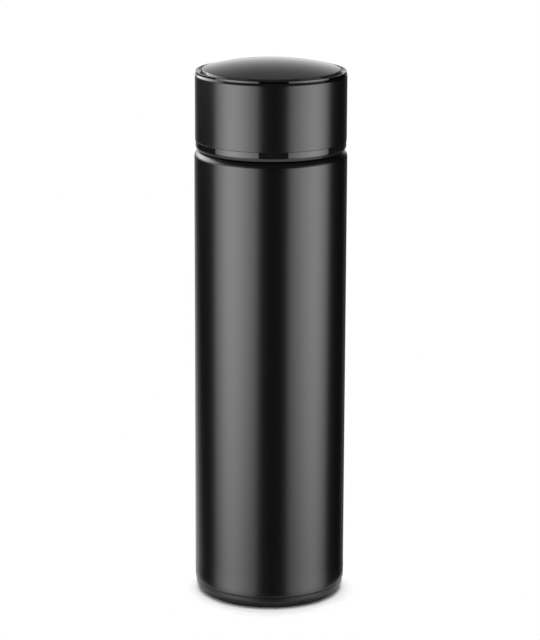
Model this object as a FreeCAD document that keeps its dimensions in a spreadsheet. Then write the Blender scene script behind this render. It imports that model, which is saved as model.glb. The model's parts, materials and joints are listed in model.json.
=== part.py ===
"""Vacuum flask whose screw lid carries a touch thermometer, as a parametric FreeCAD document.

Frame: +Z up, millimetres, origin at the centre of the foot on the ground.
Every piece is turned about Z unless its function says otherwise.
"""

import FreeCAD, Part
import math
import os

import Sketcher

SHEET = "Sizes"

# Driving sizes: alias, value, what it measures.
SIZES = (
    # outer shell
    ("shell_radius", 32.5, "outer wall of the flask"),
    ("shell_wall", 0.5, "steel of the outer shell"),
    ("shell_foot", 5.5, "lower edge of the shell over the ground"),
    ("bead_width", 0.25, "bead that stands out round the shell's lower edge"),
    ("bead_height", 1.0, "height of that bead"),
    ("bead_round", 0.2, "rounding of its two edges"),
    ("shoulder_height", 196.5, "top of the shoulder over the ground"),
    ("shoulder_round", 2.6, "rounding of the shoulder"),
    ("shoulder_width", 7.1, "shoulder, from the shell's outside to the neck"),
    ("neck_round", 1.0, "hollow rounding at the neck's root"),
    ("neck_height", 14.7, "mouth over the shoulder"),
    ("assembly_gap", 0.15, "between nested walls that are welded or glued"),
    ("loose_gap", 0.3, "between pieces that drop in"),
    # inner liner
    ("vacuum_gap", 2.4, "between the two steel walls"),
    ("liner_wall", 0.4, "steel of the liner"),
    ("liner_floor_gap", 3.4, "liner's floor over the vacuum base"),
    ("liner_floor_round", 6.0, "rounding of the liner's floor"),
    ("liner_shoulder_share", 0.6, "part of the liner's shoulder that is its outer rounding"),
    ("liner_root_share", 0.2, "part of it that is the hollow rounding at its neck"),
    ("lip_height", 0.6, "liner's lip rolled over the neck"),
    ("lip_round", 0.15, "rounding of that lip"),
    # bottom
    ("base_wall", 0.5, "steel of the two bottom pressings"),
    ("seam_gap", 0.2, "dark line between shell and foot"),
    ("cap_inset", 0.25, "foot stands back from the shell"),
    ("cap_chamfer_height", 3.3, "sloping lower part of the foot"),
    ("cap_chamfer_width", 2.45, "how far that slope goes in"),
    ("cap_rest_width", 2.8, "ring that the flask stands on"),
    ("cap_recess", 1.0, "hollow under the foot"),
    ("cap_skirt", 2.7, "foot's skirt inside the shell"),
    ("vacuum_base_depth", 5.1, "height of the vacuum base"),
    ("vacuum_base_round", 1.5, "rounding of the vacuum base"),
    ("dimple_radius", 6.0, "dimple in the vacuum base"),
    ("dimple_rise", 1.2, "height of that dimple"),
    ("port_radius", 0.6, "hole that the vacuum is drawn through"),
    ("bead_seal_radius", 4.0, "solder bead that closes that hole"),
    ("bead_seal_drop", 1.0, "thickness of that bead"),
    ("getter_radius", 5.0, "getter pellet"),
    ("getter_height", 1.6, "thickness of that pellet"),
    ("getter_offset", 14.0, "pellet from the axis"),
    # lid: sleeve and core
    ("lid_gap", 0.2, "closed lid over the shoulder"),
    ("sleeve_inset", 0.3, "sleeve stands back from the shell"),
    ("sleeve_wall", 0.5, "metal of the sleeve"),
    ("sleeve_height", 27.9, "height of the sleeve"),
    ("bezel_seam", 0.1, "dark line between the sleeve and the bezel"),
    ("bezel_height", 1.6, "height of the glossy bezel"),
    ("bezel_round", 1.4, "rounding of the bezel's outer edge"),
    ("bezel_wall", 1.0, "thickness of the bezel"),
    ("land_width", 2.65, "bezel's outside to its opening"),
    ("land_drop", 0.15, "land slopes down to the opening"),
    ("ring_inset", 0.1, "glossy ring stands back from the sleeve"),
    ("ring_height", 3.9, "height of the glossy ring"),
    ("ring_chamfer_height", 1.2, "sloping lower part of the ring"),
    ("ring_chamfer_width", 0.6, "how far that slope goes in"),
    ("spigot_height", 2.0, "ledge that the sleeve fits over"),
    ("spigot_wall", 1.2, "thickness of that ledge"),
    ("thread_space", 1.3, "neck to socket wall, filled by the two threads"),
    ("seal_space", 1.4, "mouth to the core's deck"),
    ("deck_wall", 1.8, "core's deck"),
    ("core_wall", 2.0, "wall round the electronics"),
    ("rib_count", 12, "ribs that centre the sleeve"),
    ("rib_width", 1.2, "thickness of a rib"),
    # lid: plug, seals and sensor
    ("plug_inset", 2.75, "plug's collar to the wall of the mouth"),
    ("plug_wall", 3.0, "thickness of that collar"),
    ("plug_drop", 7.1, "plug under the core's deck"),
    ("plug_flange_width", 0.8, "flange that keeps the mouth seal on"),
    ("plug_flange_height", 1.0, "thickness of that flange"),
    ("plug_flange_round", 0.4, "rounding of its lower edge"),
    ("plug_hole_inset", 1.0, "ledge that the sensor cup hangs on"),
    ("plug_ledge", 1.5, "thickness of that ledge"),
    ("seal_clearance", 0.3, "mouth seal to its neighbours"),
    ("seal_flange_height", 0.8, "mouth seal's flange over the mouth"),
    ("seal_round", 0.4, "rounding of the mouth seal's leading edge"),
    ("seal_flange_inset", 0.5, "mouth seal's flange to the socket wall"),
    ("cup_wall", 0.4, "steel of the sensor cup"),
    ("cup_drop", 2.1, "sensor cup under the plug"),
    ("cup_round", 1.0, "rounding of the sensor cup"),
    ("washer_height", 0.6, "silicone washer under the cup's flange"),
    ("foam_height", 3.0, "foam disc"),
    ("bulb_radius", 1.2, "thermistor"),
    ("lead_radius", 0.3, "its leads"),
    ("lead_spacing", 1.2, "between its leads"),
    ("lead_gap", 1.3, "leads from the edge of the coin cell"),
    # lid: electronics and window
    ("case_wall", 1.2, "electronics cup"),
    ("case_round", 0.8, "rounding of its lower edge"),
    ("case_top_gap", 0.6, "electronics cup under the core's rim"),
    ("post_radius", 2.3, "posts under the board"),
    ("post_inset", 2.2, "middle of a post from the cup's wall"),
    ("post_count", 3, "posts"),
    ("screw_radius", 0.9, "pilot hole in each post"),
    ("board_hole_radius", 1.15, "holes in the board"),
    ("board_height", 1.2, "thickness of the board"),
    ("cell_radius", 12.25, "coin cell"),
    ("cell_height", 5.0, "its thickness"),
    ("cell_step", 1.45, "its lid stands back from its can"),
    ("cell_step_height", 0.45, "how far the lid stands up"),
    ("cell_inset", 0.85, "cell's edge from the cup's wall"),
    ("clip_wall", 0.4, "spring strip of the battery clip"),
    ("clip_width", 8.0, "width of that strip"),
    ("clip_foot", 2.0, "length of its soldered feet"),
    ("clip_play", 0.1, "strip to the cell's face"),
    ("clip_floor_gap", 0.9, "strip over the electronics cup"),
    ("clip_side_gap", 0.35, "strip to the cell's edge"),
    ("display_length", 21.0, "figure display"),
    ("display_width", 12.6, "its width"),
    ("display_gap", 1.2, "display to the window's crown"),
    ("chip_length", 7.0, "controller"),
    ("chip_width", 5.0, "its width"),
    ("chip_height", 1.0, "its thickness"),
    ("chip_offset", 13.0, "controller from the axis"),
    ("coil_radius", 2.4, "touch spring, to the wire's centre"),
    ("coil_wire_radius", 0.25, "its wire"),
    ("coil_pitch", 1.9, "its pitch"),
    ("coil_offset", 12.6, "touch spring from the axis"),
    ("coil_gap", 0.9, "touch spring to the window's crown"),
    ("window_gap", 0.35, "dark line round the window"),
    ("window_edge_height", 2.9, "upright edge of the window"),
    ("window_edge_chamfer", 1.1, "bevel over that edge"),
    ("window_crown", 3.0, "dome over the bevel"),
    ("window_wall", 2.0, "thickness of the window"),
    ("window_seat", 3.2, "core's rim under the bezel's top"),
    ("gasket_height", 0.5, "foam ring under the window"),
    ("gasket_inset", 0.1, "foam ring stands back from the window"),
)

# A dome between two corners of an outline is an arc whose centre lies on the axis.
DOME = "dome"


class Measure:
    """A size with its formula: arithmetic on measures also writes the expression that is bound."""

    def __init__(self, formula, value):
        self.formula = formula
        self.value = value

    def __add__(self, other):
        return Measure(f"({self.formula} + {other.formula})", self.value + other.value)

    def __sub__(self, other):
        return Measure(f"({self.formula} - {other.formula})", self.value - other.value)

    def __mul__(self, factor):
        if isinstance(factor, Measure):
            return Measure(f"({self.formula} * {factor.formula})", self.value * factor.value)
        return Measure(f"({self.formula} * {factor})", self.value * factor)

    def size_only(self):
        """The same measure without its sign."""
        return Measure(f"abs({self.formula})", abs(self.value))


AXIS = Measure("0", 0.0)
GROUND = Measure("0", 0.0)


class Sizes:
    """The driving sizes, and the radii and heights that several pieces share."""

    def __init__(self, document):
        sheet = document.addObject("Spreadsheet::Sheet", SHEET)
        for row, (alias, value, note) in enumerate(SIZES, start=1):
            sheet.set(f"A{row}", note)
            sheet.set(f"B{row}", str(value))
            sheet.setAlias(f"B{row}", alias)
            setattr(self, alias, Measure(f"{SHEET}.{alias}", float(value)))
        document.recompute()
        self.share_flask()
        self.share_lid()
        self.share_electronics()

    def share_flask(self):
        self.shell_bore = self.shell_radius - self.shell_wall
        self.neck_radius = self.shell_radius - self.shoulder_width
        self.rim = self.shoulder_height + self.neck_height
        self.liner_radius = self.shell_bore - self.vacuum_gap
        self.liner_neck = self.neck_radius - self.shell_wall - self.assembly_gap
        self.mouth_radius = self.liner_neck - self.liner_wall
        self.base_radius = self.shell_bore - self.assembly_gap
        self.cap_top = self.shell_foot - self.seam_gap
        self.vacuum_base_foot = self.cap_top + self.cap_skirt + self.loose_gap
        self.vacuum_base_top = self.vacuum_base_foot + self.vacuum_base_depth
        self.dimple_ceiling = self.vacuum_base_top + self.dimple_rise - self.base_wall
        self.liner_floor = self.vacuum_base_top + self.liner_floor_gap

    def share_lid(self):
        self.lid_foot = self.shoulder_height + self.lid_gap
        self.ring_top = self.lid_foot + self.ring_height
        self.sleeve_radius = self.shell_radius - self.sleeve_inset
        self.sleeve_top = self.ring_top + self.sleeve_height
        self.bezel_foot = self.sleeve_top + self.bezel_seam
        self.bezel_top = self.bezel_foot + self.bezel_height
        self.opening_radius = self.sleeve_radius - self.land_width
        self.window_radius = self.opening_radius - self.window_gap
        self.window_bore = self.window_radius - self.window_wall
        self.spigot_radius = self.sleeve_radius - self.sleeve_wall - self.assembly_gap
        self.socket_radius = self.neck_radius + self.thread_space
        self.deck_foot = self.rim + self.seal_space
        self.deck_top = self.deck_foot + self.deck_wall
        self.core_radius = self.window_radius
        self.core_bore = self.core_radius - self.core_wall
        self.core_top = self.bezel_top - self.window_seat
        self.plug_radius = self.mouth_radius - self.plug_inset
        self.plug_bore = self.plug_radius - self.plug_wall
        self.plug_hole = self.plug_bore - self.plug_hole_inset
        self.plug_foot = self.deck_foot - self.plug_drop
        self.ledge_top = self.plug_foot + self.plug_ledge
        self.cup_radius = self.plug_hole - self.loose_gap
        self.cup_flange = self.ledge_top + self.washer_height
        self.cup_floor = self.plug_foot - self.cup_drop + self.cup_wall

    def share_electronics(self):
        self.case_radius = self.core_bore - self.loose_gap
        self.case_bore = self.case_radius - self.case_wall
        self.case_floor = self.deck_top + self.case_wall
        self.post_circle = self.case_bore - self.post_inset
        self.cell_offset = self.case_bore - self.cell_inset - self.cell_radius
        self.lead_offset = self.lead_gap - self.cell_offset + self.cell_radius
        lead_reach = self.lead_spacing * 0.5 + self.lead_radius
        self.lead_hole = self.lead_offset.size_only() + lead_reach + self.loose_gap
        self.clip_foot_height = self.case_floor + self.clip_floor_gap
        self.cell_foot = self.clip_foot_height + self.clip_wall + self.clip_play
        self.board_foot = self.cell_foot + self.cell_height
        self.board_top = self.board_foot + self.board_height
        self.window_foot = self.core_top + self.gasket_height
        self.window_edge = self.window_foot + self.window_edge_height
        self.dome_foot = self.window_edge + self.window_edge_chamfer
        self.crown = self.dome_foot + self.window_crown
        self.inner_crown = self.crown - self.window_wall
        self.inner_dome_foot = self.dome_foot - self.window_wall


# ---------------------------------------------------------------- sketches and features

def new_body(document, name):
    """An empty body, labelled with the node's name."""
    body = document.addObject("PartDesign::Body", name)
    body.Label = name
    return body


def origin_item(body, role):
    """One plane or axis of the body's own origin."""
    return next(item for item in body.Origin.OriginFeatures if item.Role == role)


def new_sketch(body, role, height=None):
    """A sketch on one of the body's origin planes, raised by a height if one is given."""
    sketch = body.newObject("Sketcher::SketchObject", f"{body.Name}_sketch")
    sketch.AttachmentSupport = [(origin_item(body, role), "")]
    sketch.MapMode = "FlatFace"
    if height is not None:
        sketch.setExpression(".AttachmentOffset.Base.z", height.formula)
    return sketch


def bind(sketch, constraint, measure):
    """Add a constraint whose value follows the sheet."""
    index = sketch.addConstraint(constraint)
    sketch.setExpression(f"Constraints[{index}]", measure.formula)


def pin_point(sketch, shape, point, across, up):
    """Hold a point at a distance across and up from the sketch's origin, both zero or more."""
    if across.value == 0:
        sketch.addConstraint(Sketcher.Constraint("PointOnObject", shape, point, -2))
    else:
        bind(sketch, Sketcher.Constraint("DistanceX", -1, 1, shape, point, across.value), across)
    if up.value == 0:
        sketch.addConstraint(Sketcher.Constraint("PointOnObject", shape, point, -1))
    else:
        bind(sketch, Sketcher.Constraint("DistanceY", -1, 1, shape, point, up.value), up)


def step_towards(corner, neighbour, distance):
    """The point at a distance from the corner, level or upright, on its neighbour's side."""
    across, up = corner[:2]
    run = neighbour[0].value - across.value
    rise = neighbour[1].value - up.value
    if abs(run) > abs(rise):
        return (across + distance if run > 0 else across - distance, up)
    return (across, up + distance if rise > 0 else up - distance)


def vertices(corners):
    """Split each rounded corner in two; returns the points and what bends after each of them."""
    sharp = [corner for corner in corners if corner is not DOME]
    points = []
    bends = {}
    place = 0
    for corner in corners:
        if corner is DOME:
            bends[len(points) - 1] = DOME
            continue
        if len(corner) == 3:
            points.append(step_towards(corner, sharp[place - 1], corner[2]))
            bends[len(points) - 1] = corner
            points.append(step_towards(corner, sharp[(place + 1) % len(sharp)], corner[2]))
        else:
            points.append(corner)
        place += 1
    return points, bends


def arc_centre(start, end, bend):
    """Centre of a rounding, or of a dome, whose centre lies on the axis."""
    x1, y1 = start[0].value, start[1].value
    x2, y2 = end[0].value, end[1].value
    if bend is DOME:
        height = (x1 * x1 + y1 * y1 - x2 * x2 - y2 * y2) / (2 * (y1 - y2))
        return FreeCAD.Vector(0, height, 0)
    return FreeCAD.Vector(x1 + x2 - bend[0].value, y1 + y2 - bend[1].value, 0)


def add_arc(sketch, start, end, bend):
    """Add an arc; returns its number and which of its ends is the start and which the end."""
    centre = arc_centre(start, end, bend)
    first = FreeCAD.Vector(start[0].value, start[1].value, 0) - centre
    last = FreeCAD.Vector(end[0].value, end[1].value, 0) - centre
    circle = Part.Circle(centre, FreeCAD.Vector(0, 0, 1), first.Length)
    first_angle = math.atan2(first.y, first.x)
    last_angle = math.atan2(last.y, last.x)
    if (last_angle - first_angle) % (2 * math.pi) < math.pi:
        shape = sketch.addGeometry(Part.ArcOfCircle(circle, first_angle, last_angle), False)
        return shape, 1, 2
    shape = sketch.addGeometry(Part.ArcOfCircle(circle, last_angle, first_angle), False)
    return shape, 2, 1


def draw_outline(sketch, corners):
    """Draw a closed profile from corners (across, up) or (across, up, rounding)."""
    points, bends = vertices(corners)
    sides = []
    for number, start in enumerate(points):
        end = points[(number + 1) % len(points)]
        bend = bends.get(number)
        if bend is None:
            line = Part.LineSegment(
                FreeCAD.Vector(start[0].value, start[1].value, 0),
                FreeCAD.Vector(end[0].value, end[1].value, 0),
            )
            sides.append((sketch.addGeometry(line, False), 1, 2))
        else:
            sides.append(add_arc(sketch, start, end, bend))
    for number, (shape, first, last) in enumerate(sides):
        following, following_first, _ = sides[(number + 1) % len(sides)]
        sketch.addConstraint(
            Sketcher.Constraint("Coincident", shape, last, following, following_first)
        )
        pin_point(sketch, shape, first, points[number][0], points[number][1])
        bend = bends.get(number)
        if bend is DOME:
            sketch.addConstraint(Sketcher.Constraint("PointOnObject", shape, 3, -2))
        elif bend is not None:
            bind(sketch, Sketcher.Constraint("Radius", shape, bend[2].value), bend[2])


def turn(body, corners):
    """Revolve an outline about the body's Z axis."""
    sketch = new_sketch(body, "XZ_Plane")
    draw_outline(sketch, corners)
    feature = body.newObject("PartDesign::Revolution", f"{body.Name}_turned")
    feature.Profile = sketch
    feature.ReferenceAxis = (sketch, ["V_Axis"])
    feature.Angle = 360
    return feature


def turned_body(document, name, corners):
    """A piece that is one outline revolved about Z."""
    body = new_body(document, name)
    turn(body, corners)
    return body


def extrude(body, sketch, length, symmetric=False):
    """Pad a sketch, to one side or evenly to both."""
    pad = body.newObject("PartDesign::Pad", f"{body.Name}_pad")
    pad.Profile = sketch
    pad.SideType = "Symmetric" if symmetric else "One side"
    pad.setExpression("Length", length.formula)
    return pad


def draw_circle(sketch, radius, offset):
    """Draw a circle in front of the axis, at an offset along -Y."""
    centre = FreeCAD.Vector(0, -offset.value, 0)
    circle = Part.Circle(centre, FreeCAD.Vector(0, 0, 1), radius.value)
    shape = sketch.addGeometry(circle, False)
    bind(sketch, Sketcher.Constraint("Radius", shape, radius.value), radius)
    sketch.addConstraint(Sketcher.Constraint("PointOnObject", shape, 3, -2))
    bind(sketch, Sketcher.Constraint("DistanceY", shape, 3, -1, 1, offset.value), offset)


def circle_sketch(body, height, radius, offset):
    """A level sketch with one circle in front of the axis."""
    sketch = new_sketch(body, "XY_Plane", height)
    draw_circle(sketch, radius, offset)
    return sketch


def repeat_round(body, feature, count):
    """Repeat a feature evenly round the Z axis."""
    pattern = body.newObject("PartDesign::PolarPattern", f"{body.Name}_pattern")
    pattern.Originals = [feature]
    pattern.Axis = (origin_item(body, "Z_Axis"), [""])
    pattern.Angle = 360
    pattern.setExpression("Occurrences", count.formula)
    body.Tip = pattern
    return pattern


def move(piece, across=None, along=None, up=None):
    """Bind the parts of a piece's place that are given."""
    for axis, distance in (("x", across), ("y", along), ("z", up)):
        if distance is not None:
            piece.setExpression(f".Placement.Base.{axis}", distance.formula)


# ---------------------------------------------------------------- flask

def outer_shell(document, size):
    """Painted tube with a bead at its foot, spun in over a rounded shoulder to the neck."""
    wall = size.shell_wall
    neck_top = size.rim - size.lip_height
    bead_radius = size.shell_radius + size.bead_width
    bead_top = size.shell_foot + size.bead_height
    return turned_body(document, "outer_shell", [
        (size.shell_bore, size.shell_foot),
        (bead_radius, size.shell_foot, size.bead_round),
        (bead_radius, bead_top, size.bead_round),
        (size.shell_radius, bead_top),
        (size.shell_radius, size.shoulder_height, size.shoulder_round),
        (size.neck_radius, size.shoulder_height, size.neck_round),
        (size.neck_radius, neck_top),
        (size.neck_radius - wall, neck_top),
        (size.neck_radius - wall, size.shoulder_height - wall, size.neck_round + wall),
        (size.shell_bore, size.shoulder_height - wall, size.shoulder_round - wall),
    ])


def inner_liner(document, size):
    """Bare steel bottle: rounded floor, shoulder under the shell's, lip rolled over the neck."""
    wall = size.liner_wall
    bore = size.liner_radius - wall
    shoulder = size.shoulder_height - size.shell_wall - size.vacuum_gap
    shoulder_width = size.liner_radius - size.liner_neck
    shoulder_round = shoulder_width * size.liner_shoulder_share
    root_round = shoulder_width * size.liner_root_share
    lip_foot = size.rim - size.lip_height
    return turned_body(document, "inner_liner", [
        (AXIS, size.liner_floor),
        (size.liner_radius, size.liner_floor, size.liner_floor_round),
        (size.liner_radius, shoulder, shoulder_round),
        (size.liner_neck, shoulder, root_round),
        (size.liner_neck, lip_foot),
        (size.neck_radius, lip_foot),
        (size.neck_radius, size.rim, size.lip_round),
        (size.mouth_radius, size.rim, size.lip_round),
        (size.mouth_radius, shoulder - wall, root_round + wall),
        (bore, shoulder - wall, shoulder_round - wall),
        (bore, size.liner_floor + wall, size.liner_floor_round - wall),
        (AXIS, size.liner_floor + wall),
    ])


def vacuum_base(document, size):
    """Inverted steel cup welded into the shell, with a raised dimple and the evacuation port."""
    wall = size.base_wall
    top = size.vacuum_base_top
    return turned_body(document, "vacuum_base", [
        (size.port_radius, size.dimple_ceiling),
        (size.port_radius, size.dimple_ceiling + wall),
        (size.dimple_radius, size.dimple_ceiling + wall),
        (size.dimple_radius, top),
        (size.base_radius, top, size.vacuum_base_round),
        (size.base_radius, size.vacuum_base_foot),
        (size.base_radius - wall, size.vacuum_base_foot),
        (size.base_radius - wall, top - wall, size.vacuum_base_round - wall),
        (size.dimple_radius - wall, top - wall),
        (size.dimple_radius - wall, size.dimple_ceiling),
    ])


def vacuum_seal(document, size):
    """Bead of solder glass that hangs under the dimple and closes the port."""
    return turned_body(document, "vacuum_seal", [
        (AXIS, size.dimple_ceiling),
        (size.bead_seal_radius, size.dimple_ceiling),
        DOME,
        (AXIS, size.dimple_ceiling - size.bead_seal_drop),
    ])


def getter(document, size):
    """Pellet fixed under the liner's floor, beside the dimple."""
    pellet = document.addObject("Part::Cylinder", "getter")
    pellet.Label = "getter"
    pellet.setExpression("Radius", size.getter_radius.formula)
    pellet.setExpression("Height", size.getter_height.formula)
    move(pellet, across=size.getter_offset, up=size.liner_floor - size.getter_height)
    return pellet


def base_cap(document, size):
    """Painted foot: upright band, sloping edge, resting ring, hollow middle and inner skirt."""
    wall = size.base_wall
    band = size.shell_radius - size.cap_inset
    rest_out = band - size.cap_chamfer_width
    rest_in = rest_out - size.cap_rest_width
    skirt_top = size.cap_top + size.cap_skirt
    return turned_body(document, "base_cap", [
        (AXIS, size.cap_recess),
        (rest_in - size.cap_recess, size.cap_recess),
        (rest_in, GROUND),
        (rest_out, GROUND),
        (band, size.cap_chamfer_height),
        (band, size.cap_top),
        (size.base_radius, size.cap_top),
        (size.base_radius, skirt_top),
        (size.base_radius - wall, skirt_top),
        (size.base_radius - wall, size.cap_chamfer_height - wall),
        (rest_out - wall * 0.5, wall),
        (rest_in + wall * 0.5, wall),
        (rest_in - size.cap_recess + wall * 0.5, size.cap_recess + wall),
        (AXIS, size.cap_recess + wall),
    ])


# ---------------------------------------------------------------- lid: sleeve, bezel, core, plug

def lid_sleeve(document, size):
    """Plain metal tube between the glossy ring and the glossy bezel."""
    bore = size.sleeve_radius - size.sleeve_wall
    return turned_body(document, "lid_sleeve", [
        (bore, size.ring_top),
        (size.sleeve_radius, size.ring_top),
        (size.sleeve_radius, size.sleeve_top),
        (bore, size.sleeve_top),
    ])


def lid_bezel(document, size):
    """Glossy ring over the sleeve: rounded edge, land that slopes to the opening, spigot."""
    land = size.bezel_top - size.land_drop
    spigot_bore = size.spigot_radius - size.bezel_wall
    return turned_body(document, "lid_bezel", [
        (size.spigot_radius, size.core_top),
        (size.spigot_radius, size.bezel_foot),
        (size.sleeve_radius, size.bezel_foot),
        (size.sleeve_radius, size.bezel_top, size.bezel_round),
        (size.opening_radius, land),
        (size.opening_radius, land - size.bezel_wall),
        (spigot_bore, land - size.bezel_wall),
        (spigot_bore, size.core_top),
    ])


def lid_core(document, size):
    """Moulded core: glossy ring, ledge for the sleeve, threaded socket, deck and ribs."""
    hole = size.plug_bore + size.plug_wall * 0.5
    spigot_top = size.ring_top + size.spigot_height
    ring_radius = size.sleeve_radius - size.ring_inset
    core = new_body(document, "lid_core")
    turn(core, [
        (size.socket_radius, size.lid_foot),
        (ring_radius - size.ring_chamfer_width, size.lid_foot),
        (ring_radius, size.lid_foot + size.ring_chamfer_height),
        (ring_radius, size.ring_top),
        (size.spigot_radius, size.ring_top),
        (size.spigot_radius, spigot_top),
        (size.spigot_radius - size.spigot_wall, spigot_top),
        (size.spigot_radius - size.spigot_wall, size.ring_top),
        (size.core_radius, size.ring_top),
        (size.core_radius, size.core_top),
        (size.core_bore, size.core_top),
        (size.core_bore, size.deck_top),
        (hole, size.deck_top),
        (hole, size.deck_foot),
        (size.socket_radius, size.deck_foot),
    ])
    rib_root = size.core_radius - size.core_wall * 0.5
    sketch = new_sketch(core, "XZ_Plane")
    draw_outline(sketch, [
        (rib_root, size.ring_top),
        (size.spigot_radius, size.ring_top),
        (size.spigot_radius, size.core_top),
        (rib_root, size.core_top),
    ])
    rib = extrude(core, sketch, size.rib_width, symmetric=True)
    repeat_round(core, rib, size.rib_count)
    return core


def inner_plug(document, size):
    """Collar under the deck: flange that keeps the mouth seal on, ledge for the sensor cup."""
    flange = size.plug_radius + size.plug_flange_width
    spigot = size.plug_bore + size.plug_wall * 0.5 - size.assembly_gap
    return turned_body(document, "inner_plug", [
        (size.plug_hole, size.plug_foot),
        (flange, size.plug_foot, size.plug_flange_round),
        (flange, size.plug_foot + size.plug_flange_height),
        (size.plug_radius, size.plug_foot + size.plug_flange_height),
        (size.plug_radius, size.deck_foot),
        (spigot, size.deck_foot),
        (spigot, size.deck_top),
        (size.plug_bore, size.deck_top),
        (size.plug_bore, size.ledge_top),
        (size.plug_hole, size.ledge_top),
    ])


def mouth_seal(document, size):
    """Silicone ring on the plug: a leg inside the mouth and a flange over its rim."""
    inside = size.plug_radius + size.seal_clearance
    leg = size.mouth_radius - size.seal_clearance
    flange = size.socket_radius - size.seal_flange_inset
    foot = size.plug_foot + size.plug_flange_height + size.seal_clearance
    flange_foot = size.rim + size.seal_clearance
    top = flange_foot + size.seal_flange_height
    return turned_body(document, "mouth_seal", [
        (inside, foot),
        (leg, foot, size.seal_round),
        (leg, flange_foot),
        (flange, flange_foot),
        (flange, top),
        (inside, top),
    ])


def sensor_cup(document, size):
    """Thin steel cup that hangs through the plug by its flange."""
    wall = size.cup_wall
    flange = size.plug_bore - size.loose_gap
    under = size.cup_floor - wall
    return turned_body(document, "sensor_cup", [
        (AXIS, under),
        (size.cup_radius, under, size.cup_round),
        (size.cup_radius, size.cup_flange),
        (flange, size.cup_flange),
        (flange, size.cup_flange + wall),
        (size.cup_radius - wall, size.cup_flange + wall),
        (size.cup_radius - wall, size.cup_floor, size.cup_round - wall),
        (AXIS, size.cup_floor),
    ])


def sensor_seal(document, size):
    """Silicone washer between the plug's ledge and the cup's flange."""
    inside = size.cup_radius + size.loose_gap
    outside = size.plug_bore - size.loose_gap
    return turned_body(document, "sensor_seal", [
        (inside, size.ledge_top),
        (outside, size.ledge_top),
        (outside, size.cup_flange),
        (inside, size.cup_flange),
    ])


def lid_insulation(document, size):
    """Foam disc under the electronics, with a hole for the leads."""
    top = size.deck_top - size.loose_gap
    rim = size.cup_radius - size.cup_wall - size.loose_gap
    return turned_body(document, "lid_insulation", [
        (size.lead_hole, top - size.foam_height),
        (rim, top - size.foam_height),
        (rim, top),
        (size.lead_hole, top),
    ])


# ---------------------------------------------------------------- lid: electronics and window

def thermistor(document, size):
    """Glass bulb on the cup's floor and two leads up to the board."""
    bulb = document.addObject("Part::Sphere", "thermistor_bulb")
    bulb.setExpression("Radius", size.bulb_radius.formula)
    lead_foot = size.cup_floor + size.bulb_radius
    move(bulb, along=AXIS - size.lead_offset, up=lead_foot)
    pieces = [bulb]
    for side, spread in (("front", -0.5), ("back", 0.5)):
        lead = document.addObject("Part::Cylinder", f"thermistor_lead_{side}")
        lead.setExpression("Radius", size.lead_radius.formula)
        lead.setExpression("Height", (size.board_foot - lead_foot).formula)
        move(lead, along=size.lead_spacing * spread - size.lead_offset, up=lead_foot)
        pieces.append(lead)
    joined = document.addObject("Part::MultiFuse", "thermistor")
    joined.Label = "thermistor"
    joined.Shapes = pieces
    return joined


def electronics_cup(document, size):
    """Moulded cup with a hole for the leads and posts with pilot holes for the board's screws."""
    top = size.core_top - size.case_top_gap
    cup = new_body(document, "electronics_cup")
    turn(cup, [
        (size.lead_hole, size.deck_top),
        (size.case_radius, size.deck_top, size.case_round),
        (size.case_radius, top),
        (size.case_bore, top),
        (size.case_bore, size.case_floor),
        (size.lead_hole, size.case_floor),
    ])
    sketch = circle_sketch(cup, size.case_floor, size.post_radius, size.post_circle)
    draw_circle(sketch, size.screw_radius, size.post_circle)
    post = extrude(cup, sketch, size.board_foot - size.case_floor)
    repeat_round(cup, post, size.post_count)
    return cup


def circuit_board(document, size):
    """Round board with a screw hole over each post."""
    board = turned_body(document, "circuit_board", [
        (AXIS, size.board_foot),
        (size.case_bore - size.loose_gap, size.board_foot),
        (size.case_bore - size.loose_gap, size.board_top),
        (AXIS, size.board_top),
    ])
    sketch = circle_sketch(board, size.board_top, size.board_hole_radius, size.post_circle)
    hole = board.newObject("PartDesign::Pocket", "circuit_board_hole")
    hole.Profile = sketch
    hole.Type = "ThroughAll"
    repeat_round(board, hole, size.post_count)
    return board


def controller_chip(document, size):
    """Controller on the board, beside the display."""
    chip = document.addObject("Part::Box", "controller_chip")
    chip.Label = "controller_chip"
    chip.setExpression("Length", size.chip_length.formula)
    chip.setExpression("Width", size.chip_width.formula)
    chip.setExpression("Height", size.chip_height.formula)
    move(chip, size.chip_length * -0.5, size.chip_offset - size.chip_width * 0.5, size.board_top)
    return chip


def led_display(document, size):
    """Figure display that stands on the board under the middle of the window."""
    display = document.addObject("Part::Box", "led_display")
    display.Label = "led_display"
    display.setExpression("Length", size.display_length.formula)
    display.setExpression("Width", size.display_width.formula)
    top = size.inner_crown - size.display_gap
    display.setExpression("Height", (top - size.board_top).formula)
    move(display, size.display_length * -0.5, size.display_width * -0.5, size.board_top)
    return display


def touch_spring(document, size):
    """Coil spring from the board to just under the window, in front of the display."""
    foot = size.board_top + size.coil_wire_radius
    top = size.inner_crown - size.coil_gap
    spring = new_body(document, "touch_spring")
    sketch = new_sketch(spring, "XZ_Plane")
    centre = FreeCAD.Vector(size.coil_radius.value, foot.value, 0)
    wire = Part.Circle(centre, FreeCAD.Vector(0, 0, 1), size.coil_wire_radius.value)
    shape = sketch.addGeometry(wire, False)
    bind(sketch, Sketcher.Constraint("Radius", shape, size.coil_wire_radius.value),
         size.coil_wire_radius)
    pin_point(sketch, shape, 3, size.coil_radius, foot)
    coil = spring.newObject("PartDesign::AdditiveHelix", "touch_spring_coil")
    coil.Profile = sketch
    coil.ReferenceAxis = (sketch, ["V_Axis"])
    coil.Mode = "pitch-height-angle"
    coil.setExpression("Pitch", size.coil_pitch.formula)
    coil.setExpression("Height", (top - foot - size.coil_wire_radius).formula)
    move(spring, along=AXIS - size.coil_offset)
    return spring


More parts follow.
